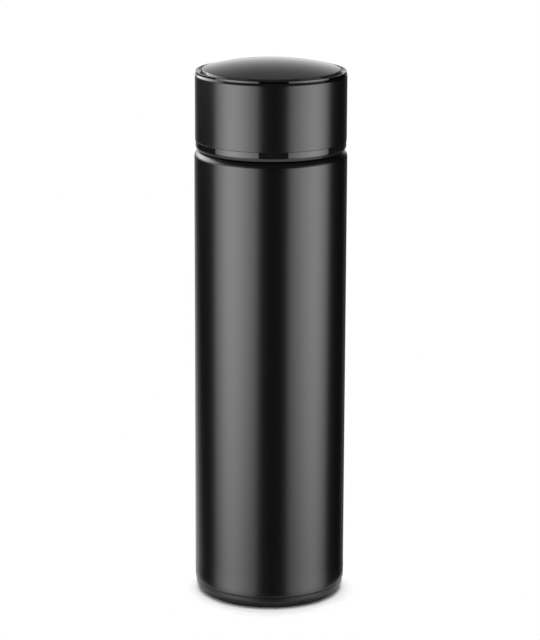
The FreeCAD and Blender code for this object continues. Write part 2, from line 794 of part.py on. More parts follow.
def coin_cell(document, size):
    """Coin cell, can downwards, with the stepped lid against the board."""
    lid_radius = size.cell_radius - size.cell_step
    can_top = size.board_foot - size.cell_step_height
    cell = turned_body(document, "coin_cell", [
        (AXIS, size.cell_foot),
        (size.cell_radius, size.cell_foot, size.cell_step_height),
        (size.cell_radius, can_top),
        (lid_radius, can_top),
        (lid_radius, size.board_foot),
        (AXIS, size.board_foot),
    ])
    move(cell, along=size.cell_offset)
    return cell


def battery_clip(document, size):
    """Spring strip under the cell, with legs and feet that are soldered to the board."""
    inside = size.cell_radius + size.clip_side_gap
    outside = inside + size.clip_wall
    foot_end = outside + size.clip_foot
    foot_under = size.board_foot - size.clip_wall
    clip = new_body(document, "battery_clip")
    sketch = new_sketch(clip, "XZ_Plane")
    draw_strip(sketch, [
        (outside, size.clip_foot_height),
        (outside, foot_under),
        (foot_end, foot_under),
        (foot_end, size.board_foot),
        (inside, size.board_foot),
        (inside, size.clip_foot_height + size.clip_wall),
    ])
    extrude(clip, sketch, size.clip_width, symmetric=True)
    move(clip, along=size.cell_offset)
    return clip


def draw_strip(sketch, corners):
    """Draw the right half of a strip and its mirror image as one closed profile."""
    count = len(corners)
    right = [(across.value, up.value) for across, up in corners]
    left = [(-across, up) for across, up in reversed(right)]
    points = [FreeCAD.Vector(across, up, 0) for across, up in right + left]
    for number, start in enumerate(points):
        end = points[(number + 1) % len(points)]
        sketch.addGeometry(Part.LineSegment(start, end), False)
    for number in range(len(points)):
        following = (number + 1) % len(points)
        sketch.addConstraint(Sketcher.Constraint("Coincident", number, 2, following, 1))
    for number, (across, up) in enumerate(corners):
        mirrored = 2 * count - 1 - number
        pin_point(sketch, number, 1, across, up)
        sketch.addConstraint(Sketcher.Constraint("Symmetric", number, 1, mirrored, 1, -2))


def lens_gasket(document, size):
    """Foam ring with adhesive between the core's rim and the window."""
    inside = size.window_bore + size.gasket_inset
    outside = size.window_radius - size.gasket_inset
    return turned_body(document, "lens_gasket", [
        (inside, size.core_top),
        (outside, size.core_top),
        (outside, size.window_foot),
        (inside, size.window_foot),
    ])


def display_lens(document, size):
    """Tinted window: skirt, upright edge, bevel and a low dome, hollow underneath."""
    bevel = size.window_radius - size.window_edge_chamfer
    return turned_body(document, "display_lens", [
        (size.window_bore, size.window_foot),
        (size.window_radius, size.window_foot),
        (size.window_radius, size.window_edge),
        (bevel, size.dome_foot),
        DOME,
        (AXIS, size.crown),
        (AXIS, size.inner_crown),
        DOME,
        (size.window_bore, size.inner_dome_foot),
    ])


# ---------------------------------------------------------------- build, check and write

PIECES = (
    outer_shell, inner_liner, vacuum_base, vacuum_seal, getter, base_cap,
    lid_sleeve, lid_bezel, lid_core, inner_plug, mouth_seal, sensor_cup, sensor_seal,
    lid_insulation, thermistor, electronics_cup, circuit_board, controller_chip, led_display, touch_spring,
    coin_cell, battery_clip, lens_gasket, display_lens,
)


def check(document, pieces):
    """Stop if an object failed to rebuild or a piece isn't one valid solid."""
    for item in document.Objects:
        if "Invalid" in item.State or "Error" in item.State:
            raise RuntimeError(f"{item.Name} failed: {item.State}")
    for piece in pieces:
        shape = piece.Shape
        if shape.isNull() or not shape.isValid() or len(shape.Solids) != 1:
            raise RuntimeError(f"{piece.Label} is not one valid solid")
        print(f"{piece.Label}: {shape.Volume / 1000:.3f} cm3, {len(shape.Faces)} faces")


def main():
    document = FreeCAD.newDocument("vacuum_flask")
    size = Sizes(document)
    pieces = [make(document, size) for make in PIECES]
    document.recompute()
    check(document, pieces)
    os.makedirs("parts", exist_ok=True)
    for piece in pieces:
        piece.Shape.exportStep(f"parts/{piece.Label}.step")


main()
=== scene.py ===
# %% [markdown]
# # A black vacuum flask with a screw lid, for someone who is learning Blender
# The flask is a double-walled steel bottle. Its lid has a metal sleeve between two glossy
# plastic rings, and a domed, almost black window on top that hides a small thermometer.
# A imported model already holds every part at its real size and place. This lesson dresses it:
# it turns new, smoother skins for the parts that show, cuts the screw thread that the packed
# model leaves out, gives each part a finish worked out by nodes, and sets up a small studio.

import json
import math

import bmesh
import bpy
from mathutils import Matrix, Vector

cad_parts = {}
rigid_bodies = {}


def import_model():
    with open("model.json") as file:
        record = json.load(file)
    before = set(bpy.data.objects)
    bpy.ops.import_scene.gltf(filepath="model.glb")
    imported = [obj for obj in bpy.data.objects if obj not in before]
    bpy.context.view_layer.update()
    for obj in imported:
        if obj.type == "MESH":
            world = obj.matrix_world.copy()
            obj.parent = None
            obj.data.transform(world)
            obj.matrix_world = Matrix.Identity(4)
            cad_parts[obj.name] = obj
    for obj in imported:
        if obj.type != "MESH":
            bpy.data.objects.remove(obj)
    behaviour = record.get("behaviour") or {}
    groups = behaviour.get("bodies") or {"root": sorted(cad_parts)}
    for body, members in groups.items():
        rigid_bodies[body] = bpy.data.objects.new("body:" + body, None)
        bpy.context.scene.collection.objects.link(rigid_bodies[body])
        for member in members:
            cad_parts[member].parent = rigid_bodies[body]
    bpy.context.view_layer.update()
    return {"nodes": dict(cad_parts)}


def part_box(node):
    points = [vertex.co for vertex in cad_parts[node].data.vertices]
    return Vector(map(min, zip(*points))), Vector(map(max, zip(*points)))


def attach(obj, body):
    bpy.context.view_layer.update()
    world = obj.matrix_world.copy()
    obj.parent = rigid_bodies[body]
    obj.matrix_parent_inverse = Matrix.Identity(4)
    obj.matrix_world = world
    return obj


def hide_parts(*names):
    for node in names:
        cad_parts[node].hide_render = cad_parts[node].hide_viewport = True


for leftover in list(bpy.data.objects):
    bpy.data.objects.remove(leftover)
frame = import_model()

# %% [markdown]
# ## Sizes
# A flask maker thinks in millimetres, and Blender's unit is the metre, so sizes stay in
# millimetres until the moment a shape is made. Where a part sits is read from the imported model
# and not typed again: `span` gives its largest radius, its foot and its top.

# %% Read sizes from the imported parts
MM = 0.001


def span(node):
    """Largest radius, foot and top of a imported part, in millimetres."""
    low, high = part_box(node)
    return high.x / MM, low.z / MM, high.z / MM


bead_radius, shell_foot, neck_end = span("outer_shell")
liner_radius, liner_floor, rim = span("inner_liner")
sleeve_radius, ring_top, sleeve_top = span("lid_sleeve")
window_radius, window_foot, crown = span("display_lens")
print(f"flask mouth at {rim:.1f} mm, window's crown at {crown:.1f} mm")

# %% [markdown]
# ## Camera
# A long lens from further back keeps the upright sides almost parallel. The camera is just over
# a metre away and 40 cm up, looks down by 14 degrees and leans by a fifth of a degree. It could
# be aimed with a Track To constraint, but a rotation that is written down gives the same
# picture every time.

# %% Place the camera
CAMERA_DISTANCE, CAMERA_HEIGHT = 1.1165, 0.4036
CAMERA_TILT, CAMERA_ROLL = 14.2, 0.216

camera_data = bpy.data.cameras.new("studio_camera")
camera_data.sensor_width = 36.0
camera_data.lens = 149.6
camera_data.shift_x = -0.0003
camera_data.clip_start = 0.05
camera_data.clip_end = 20.0
camera = bpy.data.objects.new("studio_camera", camera_data)
bpy.context.scene.collection.objects.link(camera)
camera.matrix_world = (
    Matrix.Translation((0.0, -CAMERA_DISTANCE, CAMERA_HEIGHT))
    @ Matrix.Rotation(math.radians(90.0 - CAMERA_TILT), 4, "X")
    @ Matrix.Rotation(math.radians(CAMERA_ROLL), 4, "Z")
)
bpy.context.scene.camera = camera
bpy.context.scene.view_settings.view_transform = "Standard"
print("camera at", [round(value, 3) for value in camera.location])

# %% [markdown]
# ## Writing finishes as sums
# A finish is a small network of nodes. Linking nodes by hand hides what is being worked out, so
# `Value` wraps a socket: adding or multiplying two values adds the Math node that does it, and
# `1 - mask` works as it reads. Everything else comes from one method, `Nodes.node`, which sets
# a node's own settings first and then fills its sockets with numbers or links.

# %% A value that can be added and multiplied
class Value:
    """A number or vector that the shader works out."""

    def __init__(self, nodes, socket):
        self.nodes = nodes
        self.socket = socket

    def maths(self, operation, *terms):
        """Add one Math node and return what it works out."""
        return self.nodes.node("ShaderNodeMath", {"operation": operation}, dict(enumerate(terms)))

    def __add__(self, other):
        return self.maths("ADD", self, other)

    __radd__ = __add__

    def __sub__(self, other):
        return self.maths("SUBTRACT", self, other)

    def __rsub__(self, other):
        return self.maths("SUBTRACT", other, self)

    def __mul__(self, other):
        return self.maths("MULTIPLY", self, other)

    __rmul__ = __mul__

    def __pow__(self, other):
        return self.maths("POWER", self, other)

    def __gt__(self, edge):
        return self.maths("GREATER_THAN", self, edge)

    def __lt__(self, edge):
        return self.maths("LESS_THAN", self, edge)

    def sine(self):
        return self.maths("SINE", self)

    def angle_from(self, other):
        """The angle whose tangent is this value over the other, in radians."""
        return self.maths("ARCTAN2", self, other)

    def ramp(self, low, high):
        """0 below low, 1 above high, and a soft slope between."""
        settings = {"interpolation_type": "SMOOTHSTEP"}
        return self.nodes.node("ShaderNodeMapRange", settings, {0: self, 1: low, 2: high})


# %% A node tree that adds its own nodes
class Nodes:
    """A node tree, and the way to add nodes to it."""

    def __init__(self, owner):
        owner.use_nodes = True
        self.tree = owner.node_tree

    def node(self, kind, settings=None, inputs=None, output=0):
        """Add a node: its settings first, then its sockets; returns one of its outputs."""
        added = self.tree.nodes.new(kind)
        for name, value in (settings or {}).items():
            setattr(added, name, value)
        for name, value in (inputs or {}).items():
            self.feed(added.inputs[name], value)
        return Value(self, added.outputs[output])

    def feed(self, socket, value):
        """Link a value to a socket, or set a plain number or colour on it."""
        if isinstance(value, Value):
            self.tree.links.new(value.socket, socket)
        else:
            socket.default_value = value

    def every_output(self, kind, inputs=None):
        """Add a node and return all its outputs, by name."""
        added = self.node(kind, inputs=inputs).socket.node
        return {output.name: Value(self, output) for output in added.outputs}

    def seen_rays(self):
        """1 for rays from the camera, mirrors and glass; 0 for light that falls on things."""
        rays = self.every_output("ShaderNodeLightPath")
        seen = rays["Is Camera Ray"] + rays["Is Glossy Ray"] + rays["Is Transmission Ray"]
        return seen.maths("MINIMUM", seen, 1.0)


# %% [markdown]
# Every finish here is one Principled surface whose patterns read Object coordinates, so that
# they sit still on the flask. Unwrapped maps could carry them too, but a turned part is easier
# to describe by its radius, its direction and its height, which `Finish` works out once. Sizes
# of patterns are given in millimetres.

# %% A finish
class Finish(Nodes):
    """A material with one Principled surface, and patterns that sit still on the object."""

    def __init__(self, name, **surface):
        self.material = bpy.data.materials.new(name)
        super().__init__(self.material)
        self.surface = self.tree.nodes["Principled BSDF"]
        self.set(**surface)
        self.place = self.node("ShaderNodeTexCoord", output="Object")
        parts = self.every_output("ShaderNodeSeparateXYZ", {0: self.place})
        self.x, self.y, self.z = parts["X"], parts["Y"], parts["Z"]
        self.radius = (self.x * self.x + self.y * self.y) ** 0.5
        print("finish:", name)

    def azimuth(self):
        """Direction from the axis in degrees: 0 is the front, and positive is to the left."""
        return (self.x * -1.0).angle_from(self.y * -1.0) * math.degrees(1.0)

    def set(self, **surface):
        """Set the surface's sockets; an underscore in a name stands for a space."""
        for name, value in surface.items():
            self.feed(self.surface.inputs[name.replace("_", " ")], value)

    def by_direction(self, degrees):
        """A place in radius, direction and height; so many degrees count as a millimetre."""
        turned = self.azimuth() * (MM / degrees)
        inputs = {"X": self.radius, "Y": turned, "Z": self.z}
        return self.node("ShaderNodeCombineXYZ", inputs=inputs)

    def noise(self, size, detail=2.0, place=None):
        """Cloudy noise from 0 to 1, with clouds of about the given size in millimetres."""
        inputs = {"Vector": place or self.place, "Scale": 1.0 / (size * MM), "Detail": detail}
        return self.node("ShaderNodeTexNoise", inputs=inputs)

    def cells(self, size):
        """Distance to the nearest of many points, scattered at this pitch in millimetres."""
        inputs = {"Vector": self.place, "Scale": 1.0 / (size * MM)}
        return self.node("ShaderNodeTexVoronoi", inputs=inputs)

    def mix(self, share, first, second):
        """A colour between two colours."""
        inputs = {"Factor": share, 6: first, 7: second}
        return self.node("ShaderNodeMix", {"data_type": "RGBA"}, inputs, output=2)

    def bump(self, height, depth):
        """Raise the surface by height times a depth in millimetres."""
        inputs = {"Height": height, "Distance": depth * MM}
        self.set(Normal=self.node("ShaderNodeBump", inputs=inputs))


def grey(level):
    """A colour of one level in all three channels."""
    return (level, level, level, 1.0)


# %% [markdown]
# ## Studio
# The picture is mostly reflections: a black flask shows little of its own colour. So the studio
# is made of sheets that stand round it. Planes could be moved and turned by hand, but a round
# flask mirrors by direction, so each sheet is given by the directions it stands between, its
# distance, and the heights of its foot and top.

# %% Sheets round the flask
def around(azimuth, distance, height=0.0):
    """A point round the flask: 0 degrees is towards the camera, and positive is to the left."""
    angle = math.radians(azimuth)
    return Vector((-math.sin(angle) * distance, -math.cos(angle) * distance, height))


def stage_object(name, builder, material):
    """Put a bmesh into the scene as part of the studio, which isn't handed in."""
    mesh = bpy.data.meshes.new(name)
    builder.to_mesh(mesh)
    builder.free()
    mesh.materials.append(material)
    item = bpy.data.objects.new(name, mesh)
    bpy.context.scene.collection.objects.link(item)
    return item


def sheet(name, corners, material):
    """A flat sheet that shows in reflections and lights things, and hides from the camera."""
    builder = bmesh.new()
    builder.faces.new([builder.verts.new(corner) for corner in corners])
    item = stage_object(name, builder, material)
    item.visible_camera = False
    item.visible_shadow = False
    return item


def upright(name, first, last, distance, foot, top, material):
    """A flat, upright sheet from the first direction round the flask to the last."""
    corners = [
        around(first, distance, foot), around(last, distance, foot),
        around(last, distance, top), around(first, distance, top),
    ]
    return sheet(name, corners, material)


print("a metre to the left is", [round(value, 2) for value in around(90.0, 1.0)])

# %% [markdown]
# Two wide softboxes stand low at the left and right, and between them, towards the camera, the
# studio is dark. That gives the two soft columns of light with a dark band between. A third one
# hangs higher, behind the left one, and draws the bright crescents on the rounded edges. A
# softbox is brightest in its middle and dimmer towards its edges, so each one here is a sheet
# that glows by a sum: a hill across it, and a slow fall towards its foot. The other way is
# plain area lamps, but their even brightness shows as hard, flat blocks in a glossy ring.

# %% Softboxes
def glow(name, strength):
    """A material that only shines; strength is a function of the material's own patterns."""
    finish = Finish(name, Base_Color=grey(0.0), Roughness=1.0)
    finish.set(Specular_IOR_Level=0.0, Emission_Strength=1.0)
    finish.set(Emission_Color=strength(finish))
    return finish.material


SOFTBOX_DISTANCE = 0.9
SOFTBOX_FOOT, SOFTBOX_TOP = -0.55, 0.27
FADE_BEFORE, FADE_BEYOND = 10.0, 8.0


def softbox(name, first, last, hill, radiance, edge, foot=SOFTBOX_FOOT, top=SOFTBOX_TOP):
    """A glowing sheet from the first direction to the last, brightest at the hill.

    The edge is about the share of its light that it has in the first direction. Beyond the
    hill it falls towards a fifth, and towards its foot to three tenths.
    """
    def strength(finish):
        side = finish.azimuth() * (1.0 if first > 0 else -1.0)
        rise = side.ramp(abs(first) - FADE_BEFORE, hill) * (1.0 - edge) + edge
        fall = 1.0 - side.ramp(hill, abs(last) + FADE_BEYOND) * 0.8
        dimmed = finish.z.ramp(SOFTBOX_FOOT, 0.0) * 0.7 + 0.3
        return rise * fall * dimmed * radiance

    distance = SOFTBOX_DISTANCE / math.cos(math.radians(last - first) / 2)
    return upright(name, first, last, distance, foot, top, glow(name, strength))


softbox("left_softbox", first=16.6, last=92.0, hill=60.0, radiance=4.6, edge=0.3)
softbox("right_softbox", first=-26.0, last=-97.0, hill=68.0, radiance=3.95, edge=0.33)
rim_softbox = softbox(
    "rim_softbox", first=78.0, last=163.0, hill=126.0, radiance=5.2, edge=0.1,
    foot=0.28, top=0.75,
)
rim_softbox.visible_diffuse = False
print("softboxes are up")

# %% [markdown]
# Dark panels behind the softboxes keep the flask's sides dark. Far round behind the flask the
# left one turns nearly white and the right one dark grey, which is what the outer edges of a
# round body mirror. One large dark room would be simpler, but would lose those edges.

# %% Panels behind the softboxes
def left_panel_glow(finish):
    """Dark beside the softbox, and nearly white far round behind the flask."""
    return (finish.azimuth() - finish.z * 60.0).ramp(138.0, 184.0) * 0.9


def right_panel_glow(finish):
    """Dark beside the softbox, then dark grey, and lighter lower down."""
    level = 0.10 - finish.z.maths("MINIMUM", finish.z, 0.0) * 0.28
    return level * (finish.azimuth() * -1.0).ramp(138.0, 160.0)


def darkness(finish):
    """No glow at all."""
    return finish.z * 0.0


for name, first, last, distance, foot, top, strength in (
    ("front_panel", 40.0, -50.0, 1.45, -0.9, 0.75, darkness),
    ("left_panel", 86.0, 180.0, 1.5, -0.9, 0.14, left_panel_glow),
    ("right_panel", -90.0, -160.0, 1.35, -0.9, 1.0, right_panel_glow),
    ("back_panel", -160.0, -182.0, 1.35, -0.9, 0.14, right_panel_glow),
):
    upright(name, first, last, distance, foot, top, glow(name, strength))
print("panels are up")

# %% [markdown]
# The table's top is white, and bright enough that only the flask's own soft shadow shows on it.
# It is small and fades out at its edge, because a wide one would show in the flask's lower half.

# %% Table
TABLE_RADIUS = 0.047
FADE_START, FADE_END = 0.036, 0.046

table_white = Finish("table_white", Base_Color=grey(0.93), Roughness=0.9)
table_fade = table_white.radius.ramp(FADE_START, FADE_END)
table_white.set(Specular_IOR_Level=0.0, Alpha=1.0 - table_fade)
table = bmesh.new()
bmesh.ops.create_circle(table, cap_ends=True, radius=TABLE_RADIUS, segments=128)
stage_object("table_top", table, table_white.material)
print("the table is set")

# %% [markdown]
# The backdrop is white low down and darker overhead, which is what the window's dome mirrors.
# The light that it casts on things is even and dim, so that the lamp and the softboxes lead.

# %% Backdrop
DARKEST_HEIGHT = 0.62
CAST_LIGHT = 0.35

world = bpy.data.worlds.new("studio")
bpy.context.scene.world = world
backdrop = Nodes(world)
direction = backdrop.node("ShaderNodeTexCoord", output="Generated")
height = backdrop.every_output("ShaderNodeSeparateXYZ", {0: direction})["Z"]
shown = 1.0 - height.ramp(0.0, DARKEST_HEIGHT) * 0.95
seen = backdrop.seen_rays()
surface = backdrop.tree.nodes["Background"]
backdrop.feed(surface.inputs["Color"], shown * seen + (1.0 - seen) * CAST_LIGHT)
backdrop.feed(surface.inputs["Strength"], 1.0)
print("the backdrop is white low down")

# %% [markdown]
# One wide lamp hangs overhead and lights the table, the window and anything matt. It hangs a
# little behind the flask, so that the soft shadow falls to the front. It is left out of
# reflections, because it would lie on the window like a tray.

# %% Overhead lamp
overhead = bpy.data.lights.new("overhead_lamp", "AREA")
overhead.shape = "SQUARE"
overhead.size = 1.2
overhead.energy = 33.0
overhead_lamp = bpy.data.objects.new("overhead_lamp", overhead)
overhead_lamp.location = (0.0, 0.2, 1.4)
overhead_lamp.visible_glossy = False
bpy.context.scene.collection.objects.link(overhead_lamp)
print("lamp at", [round(value, 3) for value in overhead_lamp.location])

# %% [markdown]
# ## Turning parts
# Nearly every part of a flask is round, made by spinning sheet metal or by moulding. A lathe
# does the same in Blender: draw half of the cross-section as a few points, round the corners
# that are round, and spin it about the axis. The alternative is to start from cylinders and cut
# them with booleans, which leaves uneven faces that show up in a glossy finish.

# %% A profile for the lathe
ARC_STEPS = 20


class Profile:
    """Half of a cross-section: a chain of points (radius, height) in millimetres."""

    def __init__(self):
        self.builder = bmesh.new()
        self.first = self.last = None
        self.corners = []

    def to(self, radius, height, rounding=0.0):
        """Draw a line to a corner, and remember how much it is to be rounded."""
        point = self.builder.verts.new((radius * MM, 0.0, height * MM))
        if self.last is None:
            self.first = point
        else:
            self.builder.edges.new((self.last, point))
        if rounding:
            self.corners.append((point, rounding))
        self.last = point
        return self

    def dome(self, radius, height):
        """Draw an arc to a point, with the arc's centre on the axis."""
        start = self.last.co / MM
        centre = (start.x**2 + start.z**2 - radius**2 - height**2) / (2 * (start.z - height))
        swing = math.atan2(start.x, start.z - centre) - math.atan2(radius, height - centre)
        arc = bmesh.ops.spin(
            self.builder, geom=[self.last], cent=(0, 0, centre * MM), axis=(0, 1, 0),
            angle=-swing, steps=ARC_STEPS,
        )
        self.last = arc["geom_last"][0]
        return self

    def close(self):
        """Join the last point to the first."""
        self.builder.edges.new((self.last, self.first))
        return self

    def rounded(self, segments):
        """Round the remembered corners and return the bmesh."""
        for corner, rounding in self.corners:
            bmesh.ops.bevel(
                self.builder, geom=[corner], offset=rounding * MM, offset_type="OFFSET",
                segments=segments, profile=0.5, affect="VERTICES", material=-1,
            )
        return self.builder


# %% [markdown]
# The lathe spins a profile once round and merges the seam. Edges that bend by more than 35
# degrees stay sharp, and the Weighted Normal modifier keeps the flat faces next to a rounding
# flat, so that a mirrored softbox doesn't wave there.

# %% The lathe
SPIN_STEPS = 192
SHARP_ANGLE = 35.0
MERGE_DISTANCE = 0.001


def spun(profile, steps, segments=6):
    """Round the corners, spin the profile about Z, and close its seam and poles."""
    builder = profile.rounded(segments)
    bmesh.ops.spin(
        builder, geom=builder.verts[:] + builder.edges[:], cent=(0, 0, 0), axis=(0, 0, 1),
        angle=math.tau, steps=steps, use_merge=True,
    )
    bmesh.ops.remove_doubles(builder, verts=builder.verts, dist=MERGE_DISTANCE * MM)
    bmesh.ops.recalc_face_normals(builder, faces=builder.faces)
    return builder


def turn(name, profile):
    """Turn a round piece and return the finished object."""
    return finished(name, spun(profile, SPIN_STEPS))


def finished(name, builder):
    """Make an object, smooth except at its sharp edges, with flat faces kept flat."""
    mesh = bpy.data.meshes.new(name)
    builder.to_mesh(mesh)
    builder.free()
    mesh.polygons.foreach_set("use_smooth", [True] * len(mesh.polygons))
    mesh.set_sharp_from_angle(angle=math.radians(SHARP_ANGLE))
    item = bpy.data.objects.new(name, mesh)
    bpy.context.scene.collection.objects.link(item)
    weighting = item.modifiers.new("even_shading", "WEIGHTED_NORMAL")
    weighting.keep_sharp = True
    return item


# %% [markdown]
# A new piece has to follow the lid or the flask when they move, take its finish, and hide the
# imported part that it stands for. `fit` does all three.

# %% Fit a piece
def fit(item, body, finish, slot, *nodes):
    """Hang a piece on its moving body, with its finish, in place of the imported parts."""
    item.data.materials.append(finish.material)
    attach(item, body)
    if nodes:
        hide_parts(*nodes)
    print(f"{item.name}: {len(item.data.polygons)} faces")


# %% [markdown]
# ## Satin paint
# The flask and the sleeve are powder-coated. The coat is black, and just rough enough to smear
# the softboxes into columns with soft edges. Close up it has a very fine orange peel. It is
# about a tenth of a millimetre thick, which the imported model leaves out.

# %% Satin paint
COAT = 0.12


def satin_paint(name, level, roughness, index=1.6):
    """A black coat with a fine orange peel and faint differences in its sheen."""
    paint = Finish(name, Base_Color=grey(level), IOR=index)
    peel = paint.noise(0.9) * 0.7 + paint.noise(0.28) * 0.3
    paint.set(Roughness=paint.noise(14.0) * 0.02 + (roughness - 0.01))
    paint.bump(peel, 0.004)
    return paint


flask_paint = satin_paint("satin_flask_paint", 0.002, 0.25)
foot_paint = satin_paint("satin_foot_paint", 0.003, 0.30, index=1.42)
sleeve_paint = satin_paint("satin_sleeve_paint", 0.003, 0.25)

# %% [markdown]
# ## Glossy plastic
# The two rings of the lid are moulded in a polished tool, so they mirror the softboxes with
# sharp edges. Only the slope under the lower ring was left matt, so that wet fingers find it:
# one finish covers both, and its height decides which of the two it is. The upper ring gets a
# darker copy of that finish, though it is the same plastic: painted shade on the top of the lid.

# %% Glossy plastic
SLOPE_HEIGHT = 1.2

core_radius, core_foot, core_top = span("lid_core")
slope_top = core_foot + SLOPE_HEIGHT


def glossy_plastic(name, level):
    """Polished black plastic that is matt on the slope under the lower ring."""
    finish = Finish(name, IOR=1.6)
    matt = 1.0 - finish.z.ramp((slope_top - 0.15) * MM, (slope_top + 0.05) * MM)
    finish.set(Base_Color=finish.mix(matt, grey(level), grey(0.009)))
    finish.set(Roughness=finish.noise(6.0) * 0.02 + matt * 0.24 + 0.04)
    finish.bump(finish.noise(0.3) * matt + finish.noise(5.0) * 0.5, 0.003)
    return finish


gloss = glossy_plastic("glossy_black_plastic", 0.008)
# The upper ring's copy is darker: painted shade on the top of the lid.
bezel_gloss_painted_shade = glossy_plastic("glossy_bezel_plastic_painted_shade", 0.002)

# %% [markdown]
# The window is smoked polycarbonate: its polished face mirrors sharply, and the body under it
# swallows nearly all the light and gives back a little grey. It could be made see-through, but
# what lies under it is dark as well, so an opaque grey looks the same and renders faster.

# %% Window plastic
window_gloss = Finish("tinted_window", IOR=1.5)
smoke = window_gloss.noise(9.0)
window_gloss.set(Base_Color=window_gloss.mix(smoke, grey(0.020), grey(0.024)))
window_gloss.set(Roughness=smoke * 0.01 + 0.03)

# %% [markdown]
# ## Bare steel
# The neck and the inside are stainless steel with a very fine satin grain. The noise for it is
# sampled in radius, direction and height, and is much finer round the axis than along it, so
# its grains are a tenth of a millimetre tall and far narrower. They can't be told apart by eye,
# but they soften what the steel mirrors. The inside has a lower metal share, which scatters more
# light, so that one can look down into the bottle.

# %% Bare steel
def bare_steel(name, metal):
    """Stainless steel with a fine grain; a lower metal share scatters more of the light."""
    finish = Finish(name, Metallic=metal)
    grain = finish.noise(0.12, 3.0, finish.by_direction(0.08))
    finish.set(Base_Color=finish.mix(grain, grey(0.50), grey(0.60)))
    finish.set(Roughness=grain * 0.12 + finish.noise(11.0) * 0.04 + 0.20)
    finish.bump(grain, 0.0015)
    return finish


steel = bare_steel("bare_steel", 1.0)
liner_steel = bare_steel("electropolished_steel", 0.6)

# %% [markdown]
# ## Moulded plastics, silicone and foam
# The plug is white polypropylene from a finely etched tool. Two noises do for it: a fine one
# for the etching, and a wide one for the faint clouds that white plastic has.

# %% White plastic
white_plastic = Finish("white_plastic", IOR=1.49)
etched = white_plastic.noise(0.35, 3.0)
clouds = white_plastic.noise(8.0)
white_plastic.set(Base_Color=white_plastic.mix(clouds, grey(0.60), grey(0.66)))
white_plastic.set(Roughness=etched * 0.12 + 0.36)
white_plastic.bump(etched, 0.006)

# %% [markdown]
# The seals are milky silicone, which lets light a little way in and scatters it. Subsurface
# scattering gives that look; real transparency would look like glass.

# %% Silicone
silicone = Finish("clear_silicone", IOR=1.41, Subsurface_Weight=0.4, Subsurface_Scale=0.002)
haze = silicone.noise(3.0)
silicone.set(Base_Color=silicone.mix(haze, (0.42, 0.43, 0.42, 1.0), (0.52, 0.53, 0.52, 1.0)))
silicone.set(Roughness=haze * 0.1 + 0.38)
silicone.bump(silicone.noise(0.5), 0.008)

# %% [markdown]
# The foams are closed cells about half a millimetre wide. Scattered points give the cells: the
# distance to the nearest point is small in a cell's middle and large at its walls. Noise would
# give lumps instead. The bump sinks each cell's middle, and the colour is darker there too:
# painted shade in the hollows.

# %% Foams
def foam_with_painted_hollow_shade(name, dark, light):
    """Closed cells with thin walls, with painted shade in each cell's sunken middle."""
    finish = Finish(name)
    cells = finish.cells(0.5)
    # Darker in each cell's middle: painted shade in the hollows.
    finish.set(Base_Color=finish.mix(cells, grey(dark), grey(light)))
    finish.set(Roughness=cells * 0.1 + 0.85)
    finish.bump(cells, 0.12)
    return finish


white_foam = foam_with_painted_hollow_shade("white_foam", 0.55, 0.72)
black_foam = foam_with_painted_hollow_shade("black_foam", 0.012, 0.035)

# %% [markdown]
# The cup that holds the electronics is matt black, from an etched mould. One fine noise feeds
# the colour, the roughness and the bump, so that they read as one texture; a noise for each
# would look like dirt.

# %% Matt black plastic
matt_plastic = Finish("matt_black_plastic", IOR=1.5)
texture = matt_plastic.noise(0.3, 3.0)
matt_plastic.set(Base_Color=matt_plastic.mix(texture, grey(0.016), grey(0.026)))
matt_plastic.set(Roughness=texture * 0.15 + 0.48)
matt_plastic.bump(texture, 0.015)

# %% [markdown]
# ## Finishes that stay inside
# The next finishes don't show while the lid is whole, but they are seen when the model is taken
# apart. The vacuum is closed with a bead of solder glass, cloudy and a little rough, and a
# getter pellet of pressed metal grains soaks up stray gas: scattered points give the grains.

# %% Vacuum parts
solder_glass = Finish("solder_glass", IOR=1.7)
frit = solder_glass.noise(0.6, 4.0)
solder_glass.set(Base_Color=solder_glass.mix(frit, (0.05, 0.045, 0.04, 1), (0.12, 0.11, 0.10, 1)))
solder_glass.set(Roughness=frit * 0.25 + 0.10)
solder_glass.bump(frit, 0.02)

getter_alloy = Finish("getter_alloy")
grains = getter_alloy.cells(0.3)
getter_alloy.set(Base_Color=getter_alloy.mix(grains, grey(0.12), grey(0.30)))
getter_alloy.set(Metallic=1.0 - grains * 0.4, Roughness=grains * 0.2 + 0.55)
getter_alloy.bump(grains, 0.04)

# %% [markdown]
# The touch spring and the cell's clip are spring steel, and the cell's can is nickel-plated.
# Both have a fine grain like the bottle's. One function makes both finishes, because only the
# colour and the polish differ.

# %% Spring and cell metal
def plated(name, dark, light, roughness):
    """Spring steel or plated steel, with a fine grain."""
    finish = Finish(name, Metallic=1.0)
    grain = finish.noise(0.15, 3.0, finish.by_direction(0.2))
    finish.set(Base_Color=finish.mix(grain, light, dark))
    finish.set(Roughness=grain * 0.12 + roughness)
    finish.bump(grain, 0.002)
    return finish


spring_steel = plated("spring_steel", (0.46, 0.44, 0.40, 1), (0.60, 0.58, 0.53, 1), 0.22)
cell_steel = plated("cell_steel", (0.52, 0.52, 0.52, 1), (0.66, 0.66, 0.65, 1), 0.16)

# %% [markdown]
# The sensor is a glass bulb on two tinned leads, packed as one part. It could be cut and given
# two materials, but one finish that turns to metal above the bulb leaves the part whole.

# %% Sensor
BULB_LENGTH = 2.2

bulb_glass = Finish("bulb_glass", IOR=1.5)
bulb_top = span("thermistor")[1] + BULB_LENGTH
lead = bulb_glass.z.ramp(bulb_top * MM, (bulb_top + 0.3) * MM)
streak = bulb_glass.noise(0.4)
glass_colour = bulb_glass.mix(streak, (0.10, 0.02, 0.01, 1), (0.16, 0.04, 0.02, 1))
bulb_glass.set(Base_Color=bulb_glass.mix(lead, glass_colour, grey(0.55)), Metallic=lead)
bulb_glass.set(Roughness=streak * 0.08 + lead * 0.2 + 0.04)

